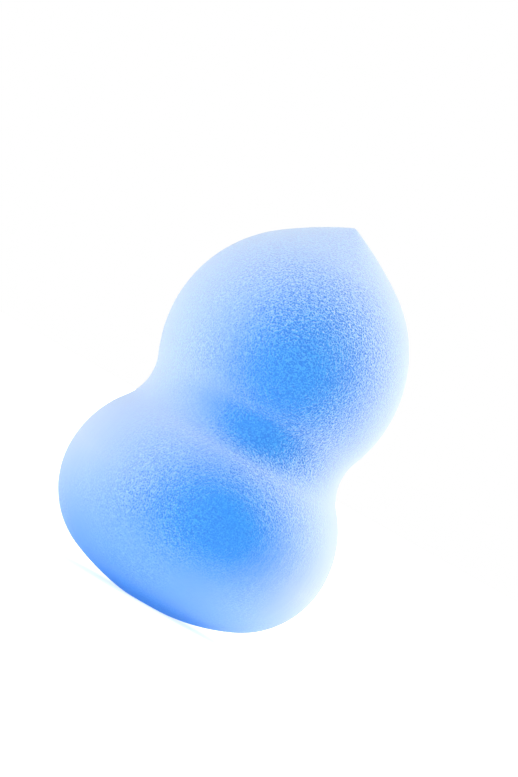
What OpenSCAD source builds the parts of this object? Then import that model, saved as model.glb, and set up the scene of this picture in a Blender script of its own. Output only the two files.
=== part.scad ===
// Gourd-shaped make-up sponge: one solid piece of soft foam, round about its upright axis.
// The outline is a chain of arcs that run smoothly into each other, turned about that axis.
// It stands on a small flat foot, and the origin is the middle of the foot.

/* [Overall] */
// Height from the foot to the tip
height = 60; // [58:0.5:70]

/* [Underside] */
// Diameter of the flat foot that it stands on
foot_d = 7; // [4:0.5:10]
// Radius of the shallow dome between the foot and the heel
base_r = 31; // [28:0.5:38]
// Radius of the heel, from the dome up to the widest line of the lower lobe
heel_r = 13; // [12:0.1:14]

/* [Lower lobe] */
// Largest diameter of the lower lobe
belly_d = 40.7; // [39:0.1:43]
// Radius of the shoulder, from that widest line up to the waist
shoulder_r = 15.4; // [14.5:0.1:16.5]

/* [Waist] */
// Smallest diameter, between the two lobes
waist_d = 30.4; // [28.6:0.1:32]

/* [Upper lobe] */
// Largest diameter of the upper lobe
head_d = 34.6; // [33.4:0.1:37]
// Height of the tip above that widest line
head_h = 21; // [20.4:0.1:22.4]
// Radius of the side of the upper lobe, below and above that line
head_r = 19.4; // [18:0.1:20]
// Radius of the flatter crown between the side and the tip
crown_r = 53; // [36:1:90]
// Radius of the tip
tip_r = 0.8; // [0.4:0.1:2]

/* [Hidden] */

foam_blue = "#8fc0fb";
$fn = 180;

// Neighbouring arcs pass through each other by this much, so that each joint is one clean crossing
lap = 0.001;

// The point at distance a from p and b from q, on the left of the way from p to q
function apex(p, a, q, b) =
    let (d = norm(q - p), way = (q - p) / d, along = (d * d + a * a - b * b) / (2 * d))
    p + along * way + sqrt(a * a - along * along) * [-way.y, way.x];

// The point where a circle of radius r about c touches the smaller circle about inner_c inside it
function touch(c, r, inner_c) = c + r * (inner_c - c) / norm(inner_c - c);

// Centres of the arcs, as [distance from the axis, height], from the foot up
dome_c = [0, sqrt(pow(base_r, 2) - pow(foot_d / 2, 2))];
heel_x = belly_d / 2 - heel_r;
belly_z = dome_c.y - sqrt(pow(base_r - heel_r, 2) - pow(heel_x, 2));
heel_c = [heel_x, belly_z];
shoulder_c = [belly_d / 2 - shoulder_r, belly_z];
head_c = [head_d / 2 - head_r, height - head_h];
tip_c = [0, height - tip_r];
crown_c = apex(head_c, crown_r - head_r, tip_c, crown_r - tip_r);

// The waist is the one hollow arc that touches both lobes and leaves the neck waist_d wide.
// A circle of radius waist_r, rise above the belly line, touches the shoulder where
// rise^2 = belly_step * (2 * shoulder_r - belly_step + 2 * waist_r), and the head likewise from above.
belly_step = (belly_d - waist_d) / 2;
head_step = (head_d - waist_d) / 2;
span = head_c.y - belly_z;
quad_a = head_step - belly_step;
quad_b = 2 * span * belly_step;
quad_c = belly_step * (head_step * (2 * head_r - head_step - 2 * shoulder_r + belly_step) - span * span);
rise = -2 * quad_c / (quad_b + sqrt(quad_b * quad_b - 4 * quad_a * quad_c));
waist_r = (rise * rise / belly_step + belly_step) / 2 - shoulder_r;
waist_c = [waist_d / 2 + waist_r, belly_z + rise];

// Where one arc hands over to the next inside a lobe
heel_joint = touch(dome_c, base_r, heel_c);
crown_joint = touch(crown_c, crown_r, head_c);
tip_joint = touch(crown_c, crown_r, tip_c);

module disc(centre, radius) {
    translate(centre) circle(radius);
}

// Keeps what lies between two heights, on the outer side of the axis
module band(low, high) {
    intersection() {
        translate([0, low]) square([belly_d, high - low]);
        children();
    }
}

module lower_lobe() {
    band(0, heel_joint.y) disc(dome_c, base_r);
    disc(heel_c, heel_r + lap);
    band(belly_z, height) disc(shoulder_c, shoulder_r);
}

module upper_lobe() {
    disc(head_c, head_r + lap);
    band(crown_joint.y, tip_joint.y) disc(crown_c, crown_r);
    disc(tip_c - [0, lap], tip_r + lap);
}

// What the discs leave open between the axis and the arcs
module core() {
    polygon([[0, heel_joint.y / 2], heel_joint, shoulder_c, waist_c, head_c]);
}

module half_outline() {
    band(0, height) difference() {
        union() {
            lower_lobe();
            core();
            upper_lobe();
        }
        disc(waist_c, waist_r + lap);
    }
}

module sponge_body() {
    color(foam_blue) rotate_extrude() half_outline();
}

sponge_body();
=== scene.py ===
# %% [markdown]
# # A gourd-shaped make-up sponge
#
# A make-up sponge is one piece of soft foam. It is moulded or ground to a gourd: a round lower lobe
# for large areas, a waist for the fingertips, and a smaller upper lobe with a pointed tip for the
# corners of the eyes and nose. There is no seam, handle or cover, so everything that the eye reads as
# "sponge" has to come from the surface: fine open cells, a velvety bloom at the edges, and a body that
# lets a little light in.
#
# The solid comes packed, and it stays as it is. This script lays a finer skin of foam over it, gives
# the skin its finish, and lights it as a small studio would.

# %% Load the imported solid
import math

import bmesh
import bpy
from mathutils import Matrix, Vector, noise


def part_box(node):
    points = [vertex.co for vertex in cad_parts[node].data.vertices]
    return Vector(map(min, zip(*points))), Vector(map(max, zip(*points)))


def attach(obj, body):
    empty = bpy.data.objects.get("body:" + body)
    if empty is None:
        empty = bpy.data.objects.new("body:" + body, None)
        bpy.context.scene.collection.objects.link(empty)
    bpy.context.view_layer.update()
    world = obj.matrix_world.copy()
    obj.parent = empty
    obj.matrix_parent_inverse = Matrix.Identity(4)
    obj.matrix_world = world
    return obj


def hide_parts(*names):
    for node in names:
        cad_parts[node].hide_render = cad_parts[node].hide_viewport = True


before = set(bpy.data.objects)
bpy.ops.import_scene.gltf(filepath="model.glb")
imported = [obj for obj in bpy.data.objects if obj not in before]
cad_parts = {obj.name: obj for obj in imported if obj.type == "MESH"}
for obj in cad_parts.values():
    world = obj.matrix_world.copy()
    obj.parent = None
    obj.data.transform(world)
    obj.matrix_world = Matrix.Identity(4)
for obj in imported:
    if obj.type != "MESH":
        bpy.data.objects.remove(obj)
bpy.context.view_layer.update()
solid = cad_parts["sponge_body"]
low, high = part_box("sponge_body")
MM = 0.001
height = high.z - low.z
belly_width = high.x - low.x
print(f"The sponge is {height / MM:.1f} mm tall and {belly_width / MM:.1f} mm wide.")

# %% [markdown]
# ## The camera
#
# The sponge stands upright in its own frame, but it should be seen leaning. Turning the object would
# move it off its foot, so the camera rolls instead: it looks level at the sponge, turned about its
# own line of sight. It stands a metre away with a long lens, because a small product is usually shot
# from well back, and that keeps the outline free of perspective.

# %% Place the camera
scene = bpy.context.scene
scene.view_settings.view_transform = "Standard"
lean = math.radians(29.36)
camera_distance = 1.0
sponge_share = 0.5524
aim_aside = -1.043 * MM
aim_height = 0.5655 * height
aim = Vector((aim_aside, 0, aim_height))

camera = bpy.data.objects.new("camera", bpy.data.cameras.new("camera"))
scene.collection.objects.link(camera)
scene.camera = camera
picture_height = height / sponge_share
camera.data.lens = camera.data.sensor_width * camera_distance / picture_height
to_the_right = Vector((math.cos(lean), 0, math.sin(lean)))
upwards = Vector((-math.sin(lean), 0, math.cos(lean)))
backwards = Vector((0, -1, 0))
turn = Matrix((to_the_right, upwards, backwards)).transposed().to_4x4()
camera.matrix_world = Matrix.Translation(aim + camera_distance * backwards) @ turn
camera.data.clip_end = 10
print(f"The lens is {camera.data.lens:.0f} mm and the picture is {picture_height / MM:.1f} mm high.")

# %% [markdown]
# ## Shader sums
#
# A finish is a small sum over the surface: so much of this grain, less of it near the foot. Wired by
# hand, each plus or minus is a Math node. The class below wraps a socket, so that the sum can be
# written as Python and adds the same nodes. Numbers go through it. Colours don't, because a Math node
# turns a colour grey. Every other node comes from `add`, which sets the node's own options first and
# then its sockets, by a plain value or by a link. Where a node has several sockets of one name, `add`
# takes the socket's place in the list instead.

# %% A socket that can be used in sums
class Wire:
    def __init__(self, socket):
        self.socket = socket

    def math(self, operation, first, second):
        tree = self.socket.id_data
        return add(tree, "ShaderNodeMath", {"operation": operation}, {0: first, 1: second})[0]

    def __add__(self, other):
        return self.math("ADD", self, other)

    def __radd__(self, other):
        return self.math("ADD", other, self)

    def __sub__(self, other):
        return self.math("SUBTRACT", self, other)

    def __rsub__(self, other):
        return self.math("SUBTRACT", other, self)

    def __mul__(self, other):
        return self.math("MULTIPLY", self, other)

    def __rmul__(self, other):
        return self.math("MULTIPLY", other, self)


def add(tree, kind, options=None, sockets=None):
    """Adds a node and returns its outputs, which can be used in sums."""
    node = tree.nodes.new(kind)
    for name, value in (options or {}).items():
        setattr(node, name, value)
    for name, value in (sockets or {}).items():
        if isinstance(value, Wire):
            tree.links.new(value.socket, node.inputs[name])
        else:
            node.inputs[name].default_value = value
    return [Wire(socket) for socket in node.outputs]


def empty_tree(owner):
    owner.use_nodes = True
    owner.node_tree.nodes.clear()
    return owner.node_tree


# %% [markdown]
# ## The studio
#
# The sponge stands in a plain white studio. Four large soft lamps light it: two from the front left and
# two from the right and a little behind, one of each pair at the sponge's own height and one overhead.
# Between the pairs lies a deeper band of blue, and no edge falls dark. An area lamp would do for one
# picture, but its light changes with the distance, so a Sun lamp with a very wide angle is used: it
# acts as a softbox that is far away and lights the sponge alike wherever it is looked at from. The
# levels are plain, so that a colour comes out about as it is written.

# %% Four softboxes
WIDE = math.radians(80)


def softbox(name, azimuth, elevation, level):
    """A wide sun. Azimuth 0 stands in front, and 90 on the right. Level 1 lights a white wall fully."""
    lamp = bpy.data.lights.new(name, "SUN")
    lamp.energy = math.pi * level
    lamp.angle = WIDE
    stand = bpy.data.objects.new(name, lamp)
    scene.collection.objects.link(stand)
    a, e = math.radians(azimuth), math.radians(elevation)
    source = Vector((math.sin(a) * math.cos(e), -math.cos(a) * math.cos(e), math.sin(e)))
    stand.rotation_mode = "QUATERNION"
    stand.rotation_quaternion = source.to_track_quat("Z", "Y")
    return stand


softbox("left_softbox", azimuth=-40, elevation=3, level=0.44)
softbox("left_overhead_softbox", azimuth=-60, elevation=46, level=0.30)
softbox("right_softbox", azimuth=105, elevation=3, level=0.115)
softbox("right_overhead_softbox", azimuth=112, elevation=46, level=0.66)

# %% [markdown]
# ## White all round
#
# The background is pure white, and that must not come from stronger lamps, which would bleach the
# sponge. A Light Path node tells the rays apart instead. A ray from the camera, or one that comes off
# gloss, meets a white world. A ray that only carries light meets a dimmer one, which fills the shade a
# little. The floor works in the same way: it is white paint that takes the sponge's shadow, with a
# glow added for each kind of ray. The glow is strong enough to keep the shadow faint, and weak enough
# to keep it.

# %% World and floor
WHITE = (1, 1, 1, 1)
WHITE_PAINT = (0.85, 0.85, 0.85, 1)


def kinds_of_ray(tree):
    """1 for rays from the camera, and 1 for rays that come off gloss or through glass."""
    path = add(tree, "ShaderNodeLightPath")
    camera, glossy, transmission = path[0], path[3], path[6]
    return camera, glossy + transmission


def white_surroundings(fill):
    world = bpy.data.worlds.new("white_surroundings")
    scene.world = world
    tree = empty_tree(world)
    seen = add(tree, "ShaderNodeBackground", None, {"Color": WHITE, "Strength": 1.0})[0]
    light = add(tree, "ShaderNodeBackground", None, {"Color": WHITE, "Strength": fill})[0]
    camera_ray, gloss_ray = kinds_of_ray(tree)
    mixed = add(tree, "ShaderNodeMixShader", None, {0: camera_ray + gloss_ray, 1: light, 2: seen})[0]
    add(tree, "ShaderNodeOutputWorld", None, {"Surface": mixed})


def white_floor(size, camera_glow, gloss_glow, light_glow):
    bpy.ops.mesh.primitive_plane_add(size=size)
    floor = bpy.context.object
    floor.name = "floor"
    material = bpy.data.materials.new("white_floor")
    tree = empty_tree(material)
    camera_ray, gloss_ray = kinds_of_ray(tree)
    light_ray = 1 - (camera_ray + gloss_ray)
    glow = camera_glow * camera_ray + gloss_glow * gloss_ray + light_glow * light_ray
    paint = {
        "Base Color": WHITE_PAINT,
        "Roughness": 1.0,
        "Specular IOR Level": 0.0,
        "Emission Color": glow,
        "Emission Strength": 1.0,
    }
    painted = add(tree, "ShaderNodeBsdfPrincipled", None, paint)[0]
    add(tree, "ShaderNodeOutputMaterial", None, {"Surface": painted})
    floor.data.materials.append(material)
    return floor


white_surroundings(fill=0.25)
floor = white_floor(size=6, camera_glow=0.72, gloss_glow=0.2, light_glow=0.39)
print(f"The floor is {floor.dimensions.x:.0f} m wide.")

# %% [markdown]
# ## The skin
#
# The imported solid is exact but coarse, and its long thin faces can't carry any relief. Foam needs
# small faces of even size all over, also at the tip, where a lathe-like grid would crowd together. So
# a copy is rebuilt out of voxels, smoothed a little, and laid back on the solid by a Shrinkwrap. A
# subdivision surface would be smoother, but uneven, and a cloth simulation has nothing to do here: a
# foam block at rest keeps the shape that it was moulded in.

# %% Rebuild the surface in small even faces
voxel = 0.335 * MM
weld_distance = 0.001 * MM


def closed_copy(source, name):
    """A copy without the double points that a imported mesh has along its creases."""
    mesh = bpy.data.meshes.new(name)
    shape = bmesh.new()
    shape.from_mesh(source.data)
    bmesh.ops.remove_doubles(shape, verts=shape.verts, dist=weld_distance)
    shape.to_mesh(mesh)
    shape.free()
    copy = bpy.data.objects.new(name, mesh)
    scene.collection.objects.link(copy)
    return copy


def apply_modifiers(piece):
    view = bpy.context.evaluated_depsgraph_get()
    finished = bpy.data.meshes.new_from_object(piece.evaluated_get(view), depsgraph=view)
    piece.modifiers.clear()
    piece.data = finished


def even_skin(source, name):
    skin = closed_copy(source, name)
    remesh = skin.modifiers.new("even faces", "REMESH")
    remesh.mode = "VOXEL"
    remesh.voxel_size = voxel
    soften = skin.modifiers.new("take out the steps", "SMOOTH")
    soften.factor = 0.5
    soften.iterations = 6
    settle = skin.modifiers.new("back on the solid", "SHRINKWRAP")
    settle.target = source
    settle.wrap_method = "NEAREST_SURFACEPOINT"
    apply_modifiers(skin)
    return skin


skin = even_skin(solid, "sponge_foam")
print(f"The skin has {len(skin.data.polygons)} faces.")

# %% [markdown]
# ## The relief
#
# No sponge is as true as a lathe would make it. Its body swells and dips by a few hundredths of a
# millimetre, its tip leans a little to one side, and cut foam has a soft, pebbly grain over all that.
# These are real bumps, so they are moved into the mesh. The finest pores are smaller than the faces
# and are left to the finish. Sculpting could do this by hand, but noise with a named size keeps every
# swelling at a known height.

# %% Move the skin in and out
swell_size, swell_depth = 19 * MM, 0.10 * MM
pebble_size, pebble_depth = 1.7 * MM, 0.014 * MM
grain_size, grain_depth = 0.36 * MM, 0.004 * MM
tip_lean, lean_height = -0.30 * MM, 11 * MM
foot_edge = 0.6 * MM


def swell(place, size, depth):
    return depth * noise.noise(place / size)


def smooth_step(value, start, end):
    share = min(max((value - start) / (end - start), 0), 1)
    return share * share * (3 - 2 * share)


def relieve(skin):
    """Moves each point along its normal, less and less towards the flat foot."""
    mesh = skin.data
    moved = []
    for point, normal in zip(mesh.vertices, mesh.vertex_normals):
        place = point.co
        relief = swell(place, swell_size, swell_depth)
        relief += swell(place, pebble_size, pebble_depth)
        relief += swell(place, grain_size, grain_depth)
        above_foot = smooth_step(place.z - low.z, 0, foot_edge)
        step = normal.vector * relief * above_foot
        towards_tip = max(place.z - (high.z - lean_height), 0) / lean_height
        step.x += tip_lean * towards_tip**2
        moved.append(step)
    for point, step in zip(mesh.vertices, moved):
        point.co += step
        point.co.z = max(point.co.z, low.z)
    return max(step.length for step in moved)


most = relieve(skin)
for face in skin.data.polygons:
    face.use_smooth = True
skin.data.update()
print(f"The relief moves a point by at most {most / MM:.2f} mm.")

# %% [markdown]
# ## The grain of the foam
#
# Fine foam is a heap of tiny cells cut open. Each one is a pit 0.3 mm across, and the walls between
# the pits stand up and catch the light. They are too small to move into the mesh, so the finish
# carries them: a Bump tilts the shading with them, and their light and shade are painted into the
# colour as well, paler walls and deeper pits. A Voronoi texture is low in the middle of a cell and
# high at its walls, and a finer noise breaks the walls up. Noise alone would look like sand.
#
# The grain isn't equally strong all over. It is weaker low down, and here and there a patch is
# weaker than its neighbours. The pattern stands in for light that grazes the surface and brings the
# grain out, so in the colour it is painted light, and in the bump it is relief. `grain_strength` says
# how strong it is: it grows with the height over the foot, and a broad noise adds the patches.

# %% Cells, and how strong their grain is
cell_size, cell_weight, cell_middle = 0.29 * MM, 0.85, 0.45
speck_size, speck_weight, speck_middle = 0.20 * MM, 1.8, 0.5
patch_size, patch_weight, patch_middle = 15 * MM, 2.5, 0.45
patch_seed = 32.0
grain_strength_at_foot, grain_strength_at_tip = 0.05, 1.3


def foam_grain(tree, place):
    """Above 0 on the cell walls and below 0 in the pits."""
    cells = add(tree, "ShaderNodeTexVoronoi", None, {"Vector": place, "Scale": 1 / cell_size})[0]
    fine = {"Vector": place, "Scale": 1 / speck_size, "Detail": 1.0, "Roughness": 0.5}
    specks = add(tree, "ShaderNodeTexNoise", None, fine)[0]
    return cell_weight * (cells - cell_middle) + speck_weight * (specks - speck_middle)


def grain_strength(tree, place, up):
    """About 1 where the grain is strong, and towards 0 where it is weak."""
    broad = {"Vector": place, "Scale": 1 / patch_size, "Detail": 1.0, "W": patch_seed}
    patches = add(tree, "ShaderNodeTexNoise", {"noise_dimensions": "4D"}, broad)[0]
    growth = (grain_strength_at_tip - grain_strength_at_foot) / height
    # Painted light: stronger grain towards the tip and in patches, where grazing light would bring it
    # out.
    return grain_strength_at_foot + growth * up - patch_weight * (patches - patch_middle)


print(f"The cells are about {cell_size / MM:.2f} mm across, in patches of {patch_size / MM:.0f} mm.")

# %% [markdown]
# ## Shade at the foot
#
# A sponge stands and dabs on its round end. Little light reaches its underside, and the finish paints
# that shade: the pale cover thins towards the foot. The blue there is also made paler. A mask could be
# painted on by hand, but a ramp over the height stays in step with the sponge when its size changes.
# The ramp is tilted a little, so that the painted shade reaches higher on the −x side.

# %% How far the painted foot shade reaches
foot_shade_bottom, foot_shade_top = 0.5 * MM, 13.8 * MM
foot_shade_tilt = 0.108
least_unshaded = 0.164


def ramp(tree, value, start, end, first, last):
    steps = {"Value": value, "From Min": start, "From Max": end, "To Min": first, "To Max": last}
    return add(tree, "ShaderNodeMapRange", None, steps)[0]


def foot_shade_ramp(tree, aside, up):
    """1 above the painted foot shade, and less towards the foot."""
    # Painted shade: a ramp over the height, tilted to reach higher on the −x side.
    return ramp(tree, up + foot_shade_tilt * aside, foot_shade_bottom, foot_shade_top, least_unshaded, 1.0)


# The height where the painted foot shade ends.
print(f"The foam stands free from {foot_shade_top / MM:.1f} mm up.")

# %% [markdown]
# ## The blue body
#
# The foam is dyed through in one blue. Painted light and shade of the cells make it paler on the cell
# walls and deeper in the pits. A subsurface shader lets the light go a few millimetres in, so that the
# shade has soft edges, as it has in real foam. The cut walls shine a little, which a rough gloss gives,
# and the Bump tilts both with the cells. A plain diffuse blue would look like painted plaster.

# %% Blue foam
DEEP_BLUE = (0.0, 0.22, 0.85, 1)
PALE_BLUE = (0.015, 0.41, 0.98, 1)
pale_share = 0.4
# The blue is made paler towards the foot.
foot_paleness = 0.32
# Painted light and shade of the cells: paler walls, deeper pits.
painted_cell_shading = 1.8
pit_depth = 0.15 * MM
foam_bump, pile_bump = 0.5, 0.3
light_reach = 2.5 * MM


def cell_bump(tree, strength, grain):
    bump = {"Strength": strength, "Distance": pit_depth, "Height": grain}
    return add(tree, "ShaderNodeBump", None, bump)[0]


def blue_body(tree, grain, towards_foot):
    # The grain term is painted cell shading: paler on the walls, deeper in the pits.
    paleness = pale_share + foot_paleness * towards_foot + painted_cell_shading * grain
    factor, first_colour, second_colour, mixed_colour = 0, 6, 7, 2
    two_blues = {factor: paleness, first_colour: DEEP_BLUE, second_colour: PALE_BLUE}
    blue = add(tree, "ShaderNodeMix", {"data_type": "RGBA"}, two_blues)[mixed_colour]
    body = {
        "Base Color": blue,
        "Roughness": 0.40,
        "IOR": 1.63,
        "Subsurface Weight": 0.6,
        "Subsurface Radius": (1, 1, 1),
        "Subsurface Scale": light_reach,
        "Normal": cell_bump(tree, foam_bump, grain),
    }
    return add(tree, "ShaderNodeBsdfPrincipled", None, body)[0]


print(f"Light reaches {light_reach / MM:.1f} mm into the foam.")

# %% [markdown]
# ## The velvet bloom
#
# The torn cell walls stand up like the pile of velvet. Where the surface turns away, the eye looks
# across their pale tips and sees little of the blue between them, so the sponge is deep blue in the
# middle of each lobe and almost white at its edges. The Principled shader has a sheen of its own, but it
# is thin and adds light. A Mix Shader between the blue foam and a pale pile keeps the light level and
# lets the pile cover the blue: its factor is the Facing of a Layer Weight node.
#
# A few things make it less regular. The facing is taken from a normal that leans towards −x, so the
# pale cover is fuller on the −x side and the deep blue middle sits towards +x: painted light from the
# −x side. At the edges the cover is fuller towards +x: painted light from that side. The cells break
# it up into painted grain shade where blue still shows, and leave it calm where the pile is thick.
# Towards the foot the cover thins, a painted shade, and where the sponge meets the floor it is gone.

# %% Cover of pale pile
# Painted light from the −x side: the normal for the facing leans that way.
PAINTED_LIGHT_LEAN = (-0.155, 0.0, -0.006)
edge_width = 0.805
bloom_start = 0.10
bloom = 0.623
# Painted light from the +x side: the cover grows towards +x.
painted_side_light = 0.081 / (20 * MM)
contact_shade_height = 2.0 * MM
# Painted cell shading in the pale cover: thicker on the walls, thinner in the pits.
cover_cell_shading, core_cell_shading, blend_cell_shading = 0.36, 0.25, 7


def light_leaned_normal(tree, grain):
    """The normal over the cells, leaned towards −x so that the pale cover is painted fuller on that
    side.
    """
    upright = cell_bump(tree, pile_bump, grain)
    leaning = add(tree, "ShaderNodeVectorMath", {"operation": "ADD"}, {0: upright, 1: PAINTED_LIGHT_LEAN})[0]
    return add(tree, "ShaderNodeVectorMath", {"operation": "NORMALIZE"}, {0: leaning})[0]


def pile_cover(tree, aside, up, grain, free):
    """How much of the surface looks like pale pile."""
    way = light_leaned_normal(tree, grain)
    weight = add(tree, "ShaderNodeLayerWeight", None, {"Blend": edge_width, "Normal": way})
    facing = weight[1]
    # Painted shade at the foot: the cover thins towards it and is gone where the sponge meets the floor.
    above_contact_shade = ramp(tree, up, 0.0, contact_shade_height, 0.0, 1.0)
    cover = ramp(tree, facing, bloom_start, 1.0, 0.0, 1.0) * free * above_contact_shade
    bare = 1 - cover
    # Painted cell shading in the cover, strongest where some blue still shows.
    cell_shading_weight = bare * bare * (core_cell_shading + blend_cell_shading * cover)
    # The first term paints light from the +x side, the second the cells' light and shade.
    return (bloom + painted_side_light * aside) * cover + cover_cell_shading * cell_shading_weight * grain


print(f"The pile covers at most {bloom:.0%} of the foam in the middle.")

# %% [markdown]
# ## Foam and pile together
#
# The finish starts from the object's own coordinates, so the grain keeps its size in millimetres and
# needs no unwrapping. A texture laid on with UVs would stretch at the tip. Grain, painted foot shade
# and cover are worked out once and used by both layers, so that pits and pale tips fall in the same
# places.

# %% The whole finish
PALE = (0.905, 0.96, 1.0, 1)


def pale_pile(tree, grain):
    look = {
        "Base Color": PALE,
        "Roughness": 1.0,
        "Specular IOR Level": 0.0,
        "Normal": cell_bump(tree, pile_bump, grain),
    }
    return add(tree, "ShaderNodeBsdfPrincipled", None, look)[0]


def foam_finish(name):
    material = bpy.data.materials.new(name)
    tree = empty_tree(material)
    object_space = 3
    place = add(tree, "ShaderNodeTexCoord")[object_space]
    aside, _, up = add(tree, "ShaderNodeSeparateXYZ", None, {0: place})
    grain = grain_strength(tree, place, up) * foam_grain(tree, place)
    # Painted foot shade: 1 above it, less towards the foot; the cover thins and the blue gets paler
    # there.
    free = foot_shade_ramp(tree, aside, up)
    foam = blue_body(tree, grain, 1 - free)
    pile = pale_pile(tree, grain)
    cover = pile_cover(tree, aside, up, grain, free)
    surface = add(tree, "ShaderNodeMixShader", None, {0: cover, 1: foam, 2: pile})[0]
    add(tree, "ShaderNodeOutputMaterial", None, {"Surface": surface})
    return material


skin.data.materials.clear()
skin.data.materials.append(foam_finish("blue_foam"))
nodes = skin.data.materials[0].node_tree.nodes
print(f"The finish has {len(nodes)} nodes.")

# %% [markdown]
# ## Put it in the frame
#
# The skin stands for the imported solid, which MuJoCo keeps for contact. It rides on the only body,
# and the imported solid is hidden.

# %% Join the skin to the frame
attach(skin, "root")
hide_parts("sponge_body")
